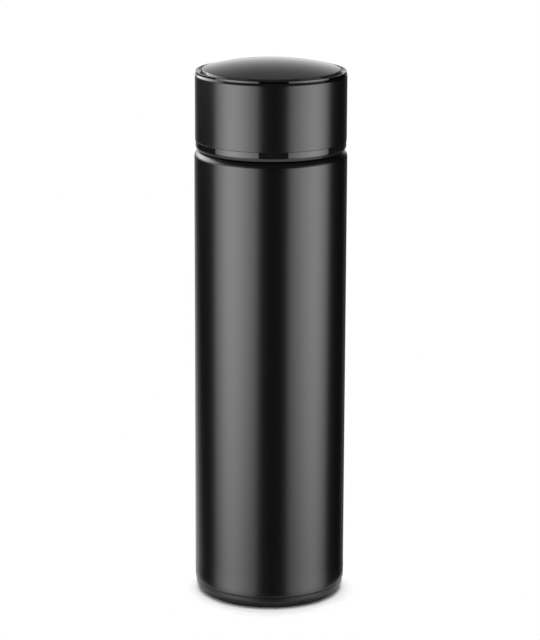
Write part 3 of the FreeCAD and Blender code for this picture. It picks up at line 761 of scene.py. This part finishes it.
# %% [markdown]
# The board is green solder mask. Straight copper tracks lie under it, just under half a
# millimetre wide and 1.27 apart, and change direction from one patch of the board to the next.
# The upper part of a sine gives evenly spaced tracks, which no noise does.

# %% Circuit board
TRACK_PITCH = 1.27

board = Finish("board", IOR=1.5)
patches = board.cells(9.0) > 0.5
across = (board.x * (math.tau / (TRACK_PITCH * MM))).sine()
along = (board.y * (math.tau / (TRACK_PITCH * MM))).sine()
tracks = (across * patches + along * (1.0 - patches)).ramp(0.35, 0.5)
mask_green, track_green = (0.006, 0.075, 0.026, 1), (0.014, 0.135, 0.045, 1)
board.set(Base_Color=board.mix(tracks, mask_green, track_green))
board.set(Roughness=board.noise(0.5) * 0.1 + 0.25)
board.bump(tracks, 0.035)

# %% [markdown]
# The chip is black resin with a moulded dot that marks its first pin, and the display is a pale
# block with a dark face. Both marks could be shapes of their own; here they are worked out from
# the place on the part, as the distance from the dot's middle and the height near the top.

# %% Chip and display
DOT_INSET, DOT_RADIUS = 0.9, 0.35
FACE_DEPTH = 0.05

chip_plastic = Finish("chip_plastic", IOR=1.55)
sand = chip_plastic.noise(0.12, 3.0)
chip_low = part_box("controller_chip")[0]
dot_x = chip_plastic.x - (chip_low.x + DOT_INSET * MM)
dot_y = chip_plastic.y - (chip_low.y + DOT_INSET * MM)
dot = ((dot_x * dot_x + dot_y * dot_y) ** 0.5) < DOT_RADIUS * MM
chip_plastic.set(Base_Color=chip_plastic.mix(dot, grey(0.022), grey(0.06)))
chip_plastic.set(Roughness=sand * 0.1 + 0.55 - dot * 0.3)
chip_plastic.bump(sand * 0.2 - dot, 0.04)

display_plastic = Finish("display_plastic", IOR=1.5)
display_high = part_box("led_display")[1]
face = display_plastic.z > (display_high.z - FACE_DEPTH * MM)
speckle = display_plastic.noise(0.25)
display_plastic.set(Base_Color=display_plastic.mix(face, grey(0.55), grey(0.03)))
display_plastic.set(Roughness=speckle * 0.1 + 0.40)
display_plastic.bump(speckle, 0.006)

# %% [markdown]
# The bars of the display's figures are a milky resin with a touch of red. They aren't lit, so
# they need no glow, only the faint clouds of the resin.

# %% Unlit figures
segment_plastic = Finish("segment_plastic", IOR=1.5)
milk = segment_plastic.noise(0.5)
milk_dark, milk_light = (0.42, 0.36, 0.34, 1), (0.5, 0.45, 0.43, 1)
segment_plastic.set(Base_Color=segment_plastic.mix(milk, milk_dark, milk_light))
segment_plastic.set(Roughness=milk * 0.1 + 0.30)

# %% [markdown]
# ## The flask's outside
# The shell is a tube whose shoulder is spun in to the neck, and it swells a tenth of a
# millimetre near its foot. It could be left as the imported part, but there the shoulder is made
# of flat strips; here each corner gets its real rounding.

# %% Shell
WALL = 0.5
BEAD_WIDTH = 0.25
SHOULDER_WIDTH = 7.1
SHOULDER_ROUNDING, NECK_ROUNDING = 3.1, 1.0
SWELLING = 0.11
LID_GAP = 0.2
PAINTED_NECK = 1.4

neck_radius = bead_radius - BEAD_WIDTH - SHOULDER_WIDTH
neck_bore = neck_radius - WALL
shell_radius = bead_radius - BEAD_WIDTH + COAT
shell_bore = shell_radius - WALL
shoulder = core_foot - LID_GAP
paint_end = shoulder + PAINTED_NECK
shell = Profile()
shell.to(shell_bore, shell_foot).to(shell_radius, shell_foot, 0.25)
shell.to(shell_radius + SWELLING, shell_foot + 1.6, 1.2).to(shell_radius, shell_foot + 6.0, 3.0)
shell.to(shell_radius, shoulder, SHOULDER_ROUNDING).to(neck_radius, shoulder, NECK_ROUNDING)
shell.to(neck_radius, paint_end).to(neck_bore, paint_end)
shell.to(neck_bore, shoulder - WALL, NECK_ROUNDING + WALL)
shell.to(shell_bore, shoulder - WALL, SHOULDER_ROUNDING - WALL).close()
fit(turn("flask_shell", shell), "flask", flask_paint, "painted_steel", "outer_shell")

# %% [markdown]
# The paint stops just above the shoulder, and the neck is bare where the thread is. One finish
# could change from paint to steel at that height, but the paint's edge is a real step, so the
# bare neck is a piece of its own and a little slimmer.

# %% Neck
PAINT_STEP = 0.03

bare_neck = neck_radius - PAINT_STEP
neck = Profile()
neck.to(neck_bore, paint_end).to(bare_neck, paint_end)
neck.to(bare_neck, neck_end).to(neck_bore, neck_end).close()
fit(turn("flask_neck", neck), "flask", steel, "bare_steel")

# %% [markdown]
# The foot is a pressed steel cap: a ring to stand on, a shallow hollow inside it, a slope, and
# an upright band with a narrow groove between it and the shell. A flat disc would do for a view
# from the side, but the slope and the groove are what makes it look like a cap.

# %% Foot
STAND_INNER, STAND_OUTER = 27.0, 29.8
HOLLOW = 1.0
BAND_FOOT = 3.3
FOOT_SHEET = 0.5
GROOVE_WIDTH, GROOVE_DEPTH = 0.35, 0.4

band, _, foot_top = span("base_cap")
band_top = shell_foot - GROOVE_WIDTH
tongue = band - GROOVE_DEPTH
foot = Profile()
foot.to(0, HOLLOW).to(STAND_INNER - 1.0, HOLLOW).to(STAND_INNER, 0)
foot.to(STAND_OUTER, 0, 0.15).to(band, BAND_FOOT, 0.2)
foot.to(band, band_top, 0.1).to(tongue, band_top).to(tongue, foot_top)
foot.to(tongue - FOOT_SHEET, foot_top).to(tongue - FOOT_SHEET, BAND_FOOT - FOOT_SHEET)
foot.to(STAND_OUTER - 0.25, FOOT_SHEET).to(STAND_INNER + 0.25, FOOT_SHEET)
foot.to(STAND_INNER - 0.75, HOLLOW + FOOT_SHEET).to(0, HOLLOW + FOOT_SHEET)
fit(turn("flask_foot", foot), "flask", foot_paint, "painted_steel", "base_cap")

# %% [markdown]
# ## The steel bottle inside
# Seen through the mouth once the lid is off: a straight wall, a rounded floor, and a lip that
# is rolled over the neck and welded. The outline is drawn twice, outside and inside, with
# roundings that differ by the sheet's thickness, as in bent metal. Solidify could give the wall
# its thickness, but would not close the lip as neatly.

# %% Liner
LINER_WALL = 0.4
FLOOR_ROUNDING, TOP_ROUNDING, THROAT_ROUNDING = 6.0, 2.9, 0.95
VACUUM_GAP = 0.65
LIP_HEIGHT = 0.6

liner_neck = neck_radius - VACUUM_GAP
mouth_radius = liner_neck - LINER_WALL
liner_shoulder = shoulder - 2.9
lip_foot = rim - LIP_HEIGHT
bore = liner_radius - LINER_WALL
liner = Profile()
liner.to(0, liner_floor).to(liner_radius, liner_floor, FLOOR_ROUNDING)
liner.to(liner_radius, liner_shoulder, TOP_ROUNDING)
liner.to(liner_neck, liner_shoulder, THROAT_ROUNDING)
liner.to(liner_neck, lip_foot).to(neck_radius, lip_foot, 0.1).to(neck_radius, rim, 0.25)
liner.to(mouth_radius, rim, 0.25)
liner.to(mouth_radius, liner_shoulder - LINER_WALL, THROAT_ROUNDING + LINER_WALL)
liner.to(bore, liner_shoulder - LINER_WALL, TOP_ROUNDING - LINER_WALL)
liner.to(bore, liner_floor + LINER_WALL, FLOOR_ROUNDING - LINER_WALL)
liner.to(0, liner_floor + LINER_WALL)
fit(turn("liner", liner), "flask", liner_steel, "bare_steel", "inner_liner")

# %% [markdown]
# ## Screw thread
# The lid rises four millimetres in one turn and comes free after a turn and a half, so the
# thread has that pitch and is right-handed. The seal pushes a closed lid up, so the lid's ridge
# lies against the underside of the neck's ridge. Both fade into the wall at their ends. A spin
# that also shifts upwards at each step makes a helix directly; the Screw modifier would do it
# too, but could not fade the ends.

# %% Thread ridges
PITCH = 4.0
RIDGE_DEPTH = 0.85
ROOT_HALF, CREST_HALF = 0.9, 0.35
CREST_ROUNDING = 0.25
SUNK = 0.1
STEPS_PER_TURN = 120
FADE_STEPS = 14
FADED_SHARE = 0.04


def thread(name, wall, crest, start, turns):
    """A ridge from the wall to the crest, wound upwards from a start height."""
    outline = Profile()
    sunk = wall + (SUNK if wall > crest else -SUNK)
    outline.to(sunk, start - ROOT_HALF).to(crest, start - CREST_HALF, CREST_ROUNDING)
    outline.to(crest, start + CREST_HALF, CREST_ROUNDING).to(sunk, start + ROOT_HALF).close()
    builder = outline.rounded(3)
    row = len(builder.verts)
    steps = round(turns * STEPS_PER_TURN)
    bmesh.ops.spin(
        builder, geom=builder.verts[:] + builder.edges[:], cent=(0, 0, 0), axis=(0, 0, 1),
        angle=math.tau * turns, steps=steps, dvec=(0, 0, PITCH * MM / STEPS_PER_TURN),
    )
    for number, point in enumerate(builder.verts):
        step = number // row
        share = min(step, steps - step, FADE_STEPS) / FADE_STEPS
        stand = FADED_SHARE + (1.0 - FADED_SHARE) * math.sin(share * math.pi / 2)
        radius = point.co.xy.length
        point.co.xy *= (sunk * MM + (radius - sunk * MM) * stand) / radius
    bmesh.ops.holes_fill(builder, edges=builder.edges[:], sides=0)
    bmesh.ops.recalc_face_normals(builder, faces=builder.faces)
    return finished(name, builder)


SOCKET_GAP = 1.3

socket_radius = neck_radius + SOCKET_GAP
male = thread("neck_thread", bare_neck, neck_radius + RIDGE_DEPTH, shoulder + 3.2, 1.5)
fit(male, "flask", steel, "bare_steel")
female = thread("socket_thread", socket_radius, socket_radius - RIDGE_DEPTH, shoulder + 2.2, 1.25)
fit(female, "lid", gloss, "glossy_black_plastic")

# %% [markdown]
# ## The lid
# A moulded core carries everything: its foot is the lower glossy ring, the metal sleeve slides
# over its ledge and ribs, and the socket inside it has the thread. It is one moulding, so it is
# one profile here; a ring and a socket made apart would show a seam that a moulding hasn't.

# %% Core
DECK_HOLE = 20.1
DECK_THICKNESS = 1.8
LEDGE_HEIGHT, LEDGE_WIDTH = 2.0, 1.2
CORE_WALL = 2.0
RING_PROUD = 0.06
SPIGOT_STEP = 0.65
SLOPE_WIDTH = 0.65

spigot_radius = sleeve_radius - SPIGOT_STEP
ledge_bore = spigot_radius - LEDGE_WIDTH
ledge_top = ring_top + LEDGE_HEIGHT
deck_foot = rim + 1.4
deck_top = deck_foot + DECK_THICKNESS
ring_side = core_radius + RING_PROUD
slope_foot = shoulder + 0.05
core = Profile()
core.to(socket_radius, slope_foot, 0.3).to(core_radius - SLOPE_WIDTH, slope_foot, 0.12)
core.to(ring_side, slope_top, 0.3).to(ring_side, ring_top, 0.14)
core.to(spigot_radius, ring_top).to(spigot_radius, ledge_top, 0.2)
core.to(ledge_bore, ledge_top).to(ledge_bore, ring_top)
core.to(window_radius, ring_top).to(window_radius, core_top)
core.to(window_radius - CORE_WALL, core_top).to(window_radius - CORE_WALL, deck_top)
core.to(DECK_HOLE, deck_top).to(DECK_HOLE, deck_foot).to(socket_radius, deck_foot, 0.4).close()
fit(turn("lid_core_skin", core), "lid", gloss, "glossy_black_plastic", "lid_core")

# %% [markdown]
# Twelve slim ribs stand round the core and centre the sleeve. They reach a little way into the
# core's wall. The Array modifier could repeat one rib about an empty, but a loop that turns
# each one in place needs no helper object.

# %% Ribs that centre the sleeve
RIB_COUNT = 12
RIB_WIDTH = 1.2
RIB_ROOT = 1.0
RIB_PLAY = 0.02

rib_low, rib_high = window_radius - RIB_ROOT, spigot_radius - RIB_PLAY
ribs = bmesh.new()
for number in range(RIB_COUNT):
    size = Vector((rib_high - rib_low, RIB_WIDTH, core_top - ring_top - RIB_PLAY)) * MM
    middle = Vector((rib_high + rib_low, 0.0, core_top + ring_top)) * (MM / 2)
    place = Matrix.Rotation(math.tau * number / RIB_COUNT, 4, "Z") @ Matrix.Translation(middle)
    bmesh.ops.create_cube(ribs, size=1.0, matrix=place @ Matrix.Diagonal((*size, 1.0)))
fit(finished("core_ribs", ribs), "lid", gloss, "glossy_black_plastic")

# %% [markdown]
# The sleeve is a drawn metal tube, trimmed at both ends and painted like the flask. Its edges
# get the small roundings that the coat gives a trimmed edge, and each catches a thin line of
# light. A plain cylinder without them looks cut from paper.

# %% Sleeve
SEAM_DROP = 0.15

seam = sleeve_top - SEAM_DROP
side = sleeve_radius + COAT
sleeve = Profile()
sleeve.to(sleeve_radius - WALL, ring_top).to(side, ring_top, 0.12)
sleeve.to(side, seam, 0.1).to(sleeve_radius - WALL, seam).close()
fit(turn("sleeve", sleeve), "lid", sleeve_paint, "painted_aluminium", "lid_sleeve")

# %% [markdown]
# The upper ring starts flush with the sleeve, slopes in a little, stands upright again and then
# turns over into a narrow land, which falls towards the window. It is turned like the rest:
# each of those bands mirrors the softboxes on its own, so each needs its own corner.

# %% Bezel
SEAM_GAP = 0.07
LAND_FALL = 1.1
LAND_LIP = 0.6
RABBET = 1.0

_, bezel_spigot, bezel_top = span("lid_bezel")
bezel_foot = seam + SEAM_GAP
land = bezel_top - LAND_FALL
opening = sleeve_radius - 2.35
bezel = Profile()
bezel.to(spigot_radius, bezel_spigot).to(spigot_radius, bezel_foot)
bezel.to(side, bezel_foot, 0.05).to(side - 0.35, bezel_foot + 0.9, 0.2)
bezel.to(side - 0.37, bezel_top, 0.12).to(side - 0.9, bezel_top - 0.02, 0.2)
bezel.to(opening, land, 0.15).to(opening, land - LAND_LIP)
bezel.to(opening + RABBET, land - LAND_LIP).to(opening + RABBET, bezel_spigot).close()
fit(turn("bezel", bezel), "lid", bezel_gloss_painted_shade, "glossy_black_plastic", "lid_bezel")

# %% [markdown]
# The window stands up a little inside the land. Its side leans in by 15 degrees, and that slant
# catches a thin crescent of light at the front left, as an upright side would not. The dome is
# an arc about a point on the axis. A scaled sphere would be rounder in the middle than at the
# edge, and would bend what it mirrors.

# %% Window
WINDOW_WALL = 2.0
SLANT_FOOT, SLANT_TOP = 4.8, 3.7

window_bore = window_radius - WINDOW_WALL
window = Profile()
window.to(window_bore, window_foot).to(window_radius, window_foot)
window.to(window_radius + 0.45, crown - SLANT_FOOT, 0.1)
window.to(window_radius + 0.15, crown - SLANT_TOP, 0.2).dome(0, crown)
window.to(0, crown - WINDOW_WALL).dome(window_bore, window_foot + WINDOW_WALL).close()
fit(turn("window", window), "lid", window_gloss, "tinted_window", "display_lens")

# %% [markdown]
# ## Under the lid
# A white plug hangs from the core's deck into the mouth. It is a collar: a flange at its foot
# keeps the mouth seal from sliding off, and a seat inside carries the sensor's cup. The packed
# part has that shape already, and turning it again adds the soft edges of a moulding.

# %% Plug
FLANGE_WIDTH, FLANGE_HEIGHT = 0.8, 1.0
PLUG_WALL = 3.0
SEAT_WIDTH, SEAT_HEIGHT = 1.0, 1.5
DECK_PLAY = 0.15

flange_radius, plug_foot, plug_top = span("inner_plug")
plug_radius = flange_radius - FLANGE_WIDTH
plug_bore = plug_radius - PLUG_WALL
seat_bore = plug_bore - SEAT_WIDTH
flange_top = plug_foot + FLANGE_HEIGHT
seat_top = plug_foot + SEAT_HEIGHT
spigot = DECK_HOLE - DECK_PLAY
plug = Profile()
plug.to(seat_bore, plug_foot, 0.2).to(flange_radius, plug_foot, 0.4)
plug.to(flange_radius, flange_top, 0.2).to(plug_radius, flange_top)
plug.to(plug_radius, deck_foot).to(spigot, deck_foot).to(spigot, plug_top)
plug.to(plug_bore, plug_top).to(plug_bore, seat_top).to(seat_bore, seat_top)
fit(turn("plug", plug.close()), "lid", white_plastic, "white_plastic", "inner_plug")

# %% [markdown]
# The mouth seal is a silicone ring on the plug, with three thin lips that press on the steel. A
# bump in its finish could draw the lips, but they show in outline when the lid is off, so a
# loop draws each into the profile.

# %% Mouth seal
LIPS = (1.3, 2.7, 4.1)
LIP_HALF, LIP_REACH = 0.4, 0.22
SEAL_GAP = 0.3
SEAL_HEAD = 0.8

seal_radius, seal_foot, seal_top = span("mouth_seal")
leg = mouth_radius - SEAL_GAP
head_foot = seal_top - SEAL_HEAD
seal = Profile()
seal.to(plug_radius + SEAL_GAP, seal_foot, 0.2).to(leg, seal_foot, 0.4)
for lip in LIPS:
    seal.to(leg, seal_foot + lip - LIP_HALF).to(leg + LIP_REACH, seal_foot + lip, 0.05)
    seal.to(leg, seal_foot + lip + LIP_HALF)
seal.to(leg, head_foot).to(seal_radius, head_foot, 0.2)
seal.to(seal_radius, seal_top, 0.2).to(plug_radius + SEAL_GAP, seal_top, 0.2).close()
fit(turn("seal", seal), "rise_carrier", silicone, "clear_silicone", "mouth_seal")

# %% [markdown]
# A thin steel cup hangs through the plug and carries the drink's heat to the sensor. It is
# pressed from sheet, so it is drawn as the liner is: both sides, one sheet apart.

# %% Sensor cup
CUP_SHEET = 0.4
CUP_GAP = 1.3

cup_flange, cup_foot, cup_top = span("sensor_cup")
cup_radius = plug_bore - CUP_GAP
cup_bore = cup_radius - CUP_SHEET
cup = Profile()
cup.to(0, cup_foot).to(cup_radius, cup_foot, 1.0).to(cup_radius, cup_top - CUP_SHEET, 0.1)
cup.to(cup_flange, cup_top - CUP_SHEET).to(cup_flange, cup_top).to(cup_bore, cup_top, 0.3)
cup.to(cup_bore, cup_foot + CUP_SHEET, 0.6).to(0, cup_foot + CUP_SHEET)
fit(turn("cup", cup), "lid", steel, "bare_steel", "sensor_cup")

# %% [markdown]
# ## On the circuit board
# Three screws with six-lobed heads hold the board on its posts. The lobes are made by moving the
# recess's own points in and out while the screw stands on the axis; then it is set over its post
# and repeated. A boolean could cut the recess too, but would leave uneven faces.

# %% Board screws
SCREW_COUNT = 3
HEAD_RADIUS, HEAD_HEIGHT = 1.85, 1.2
SHANK_RADIUS, SHANK_LENGTH = 0.85, 5.2
RECESS_RADIUS, RECESS_FLOOR = 0.8, 0.5
LOBES, LOBE_DEPTH = 6, 0.13
EDGE_TO_SCREW = 1.9

board_radius, _, board_top = span("circuit_board")
screw_circle = board_radius - EDGE_TO_SCREW
head_top = board_top + HEAD_HEIGHT
recess_floor = board_top + RECESS_FLOOR
shank_tip = board_top - SHANK_LENGTH
screw = Profile()
screw.to(0, recess_floor).to(RECESS_RADIUS - 0.02, recess_floor)
screw.to(RECESS_RADIUS, head_top, 0.03).to(HEAD_RADIUS, head_top, 0.7)
screw.to(HEAD_RADIUS, board_top, 0.05).to(SHANK_RADIUS, board_top)
screw.to(SHANK_RADIUS, shank_tip, 0.4).to(0, shank_tip)
screws = spun(screw, 72, segments=4)
for point in screws.verts:
    radius = point.co.xy.length
    if 0.0 < radius < (RECESS_RADIUS + 0.01) * MM and point.co.z > board_top * MM:
        lobe = math.cos(LOBES * math.atan2(point.co.y, point.co.x))
        point.co.xy *= 1.0 + LOBE_DEPTH * lobe
bmesh.ops.translate(screws, verts=screws.verts, vec=(0.0, -screw_circle * MM, 0.0))
first_screw = screws.verts[:] + screws.edges[:] + screws.faces[:]
for number in range(1, SCREW_COUNT):
    copy = bmesh.ops.duplicate(screws, geom=first_screw)["geom"]
    points = [item for item in copy if isinstance(item, bmesh.types.BMVert)]
    turned = Matrix.Rotation(math.tau * number / SCREW_COUNT, 3, "Z")
    bmesh.ops.rotate(screws, verts=points, cent=(0, 0, 0), matrix=turned)
fit(finished("board_screws", screws), "lid", spring_steel, "spring_steel")

# %% [markdown]
# The display has three figures of seven bars. They only glow when the window is touched, so
# here they are milky bars in a dark face. One bar is a box with its ends cut to a point.

# %% Bars of the figures
BAR_LENGTH, BAR_WIDTH, BAR_PROUD = 3.0, 0.66, 0.04
BAR_POINT = 0.3
BAR_GAP = 0.3
FIGURE_PITCH = 6.0


def bar(builder, x, y, upright_bar):
    """Add one bar to the figures, level or upright."""
    size = Vector((BAR_LENGTH, BAR_WIDTH, 2 * BAR_PROUD)) * MM
    place = Matrix.Translation(Vector((x, y, 0.0)) * MM + Vector((0.0, 0.0, display_high.z)))
    quarter = Matrix.Rotation(math.radians(90.0 if upright_bar else 0.0), 4, "Z")
    matrix = place @ quarter @ Matrix.Diagonal((*size, 1.0))
    corners = bmesh.ops.create_cube(builder, size=1.0, matrix=matrix)["verts"]
    edges = {edge for corner in corners for edge in corner.link_edges}
    rises = {edge: abs(edge.verts[0].co.z - edge.verts[1].co.z) for edge in edges}
    ends = [edge for edge in edges if rises[edge] > BAR_PROUD * MM]
    bmesh.ops.bevel(
        builder, geom=ends, offset=BAR_POINT * MM, offset_type="OFFSET", segments=1,
        profile=0.5, affect="EDGES", material=-1,
    )


figures = bmesh.new()
half = (BAR_LENGTH + BAR_GAP) / 2
for figure in (-1, 0, 1):
    middle = figure * FIGURE_PITCH
    for row in (-2, 0, 2):
        bar(figures, middle, row * half, False)
    for side_x in (-half, half):
        for row in (-1, 1):
            bar(figures, middle + side_x, row * half, True)
fit(finished("display_bars", figures), "lid", segment_plastic, "display_plastic")

# %% [markdown]
# ## Parts kept as packed
# The parts that stay hidden are already right as packed, so they only get their finishes.

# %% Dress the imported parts
packed_finishes = {
    "vacuum_base": steel, "vacuum_seal": solder_glass, "getter": getter_alloy,
    "sensor_seal": silicone, "lid_insulation": white_foam, "thermistor": bulb_glass,
    "electronics_cup": matt_plastic, "circuit_board": board, "controller_chip": chip_plastic,
    "led_display": display_plastic, "touch_spring": spring_steel, "coin_cell": cell_steel,
    "battery_clip": spring_steel, "lens_gasket": black_foam,
}
for name, finish in packed_finishes.items():
    part = frame["nodes"][name]
    part.data.materials.clear()
    part.data.materials.append(finish.material)
print("packed parts dressed:", len(packed_finishes))
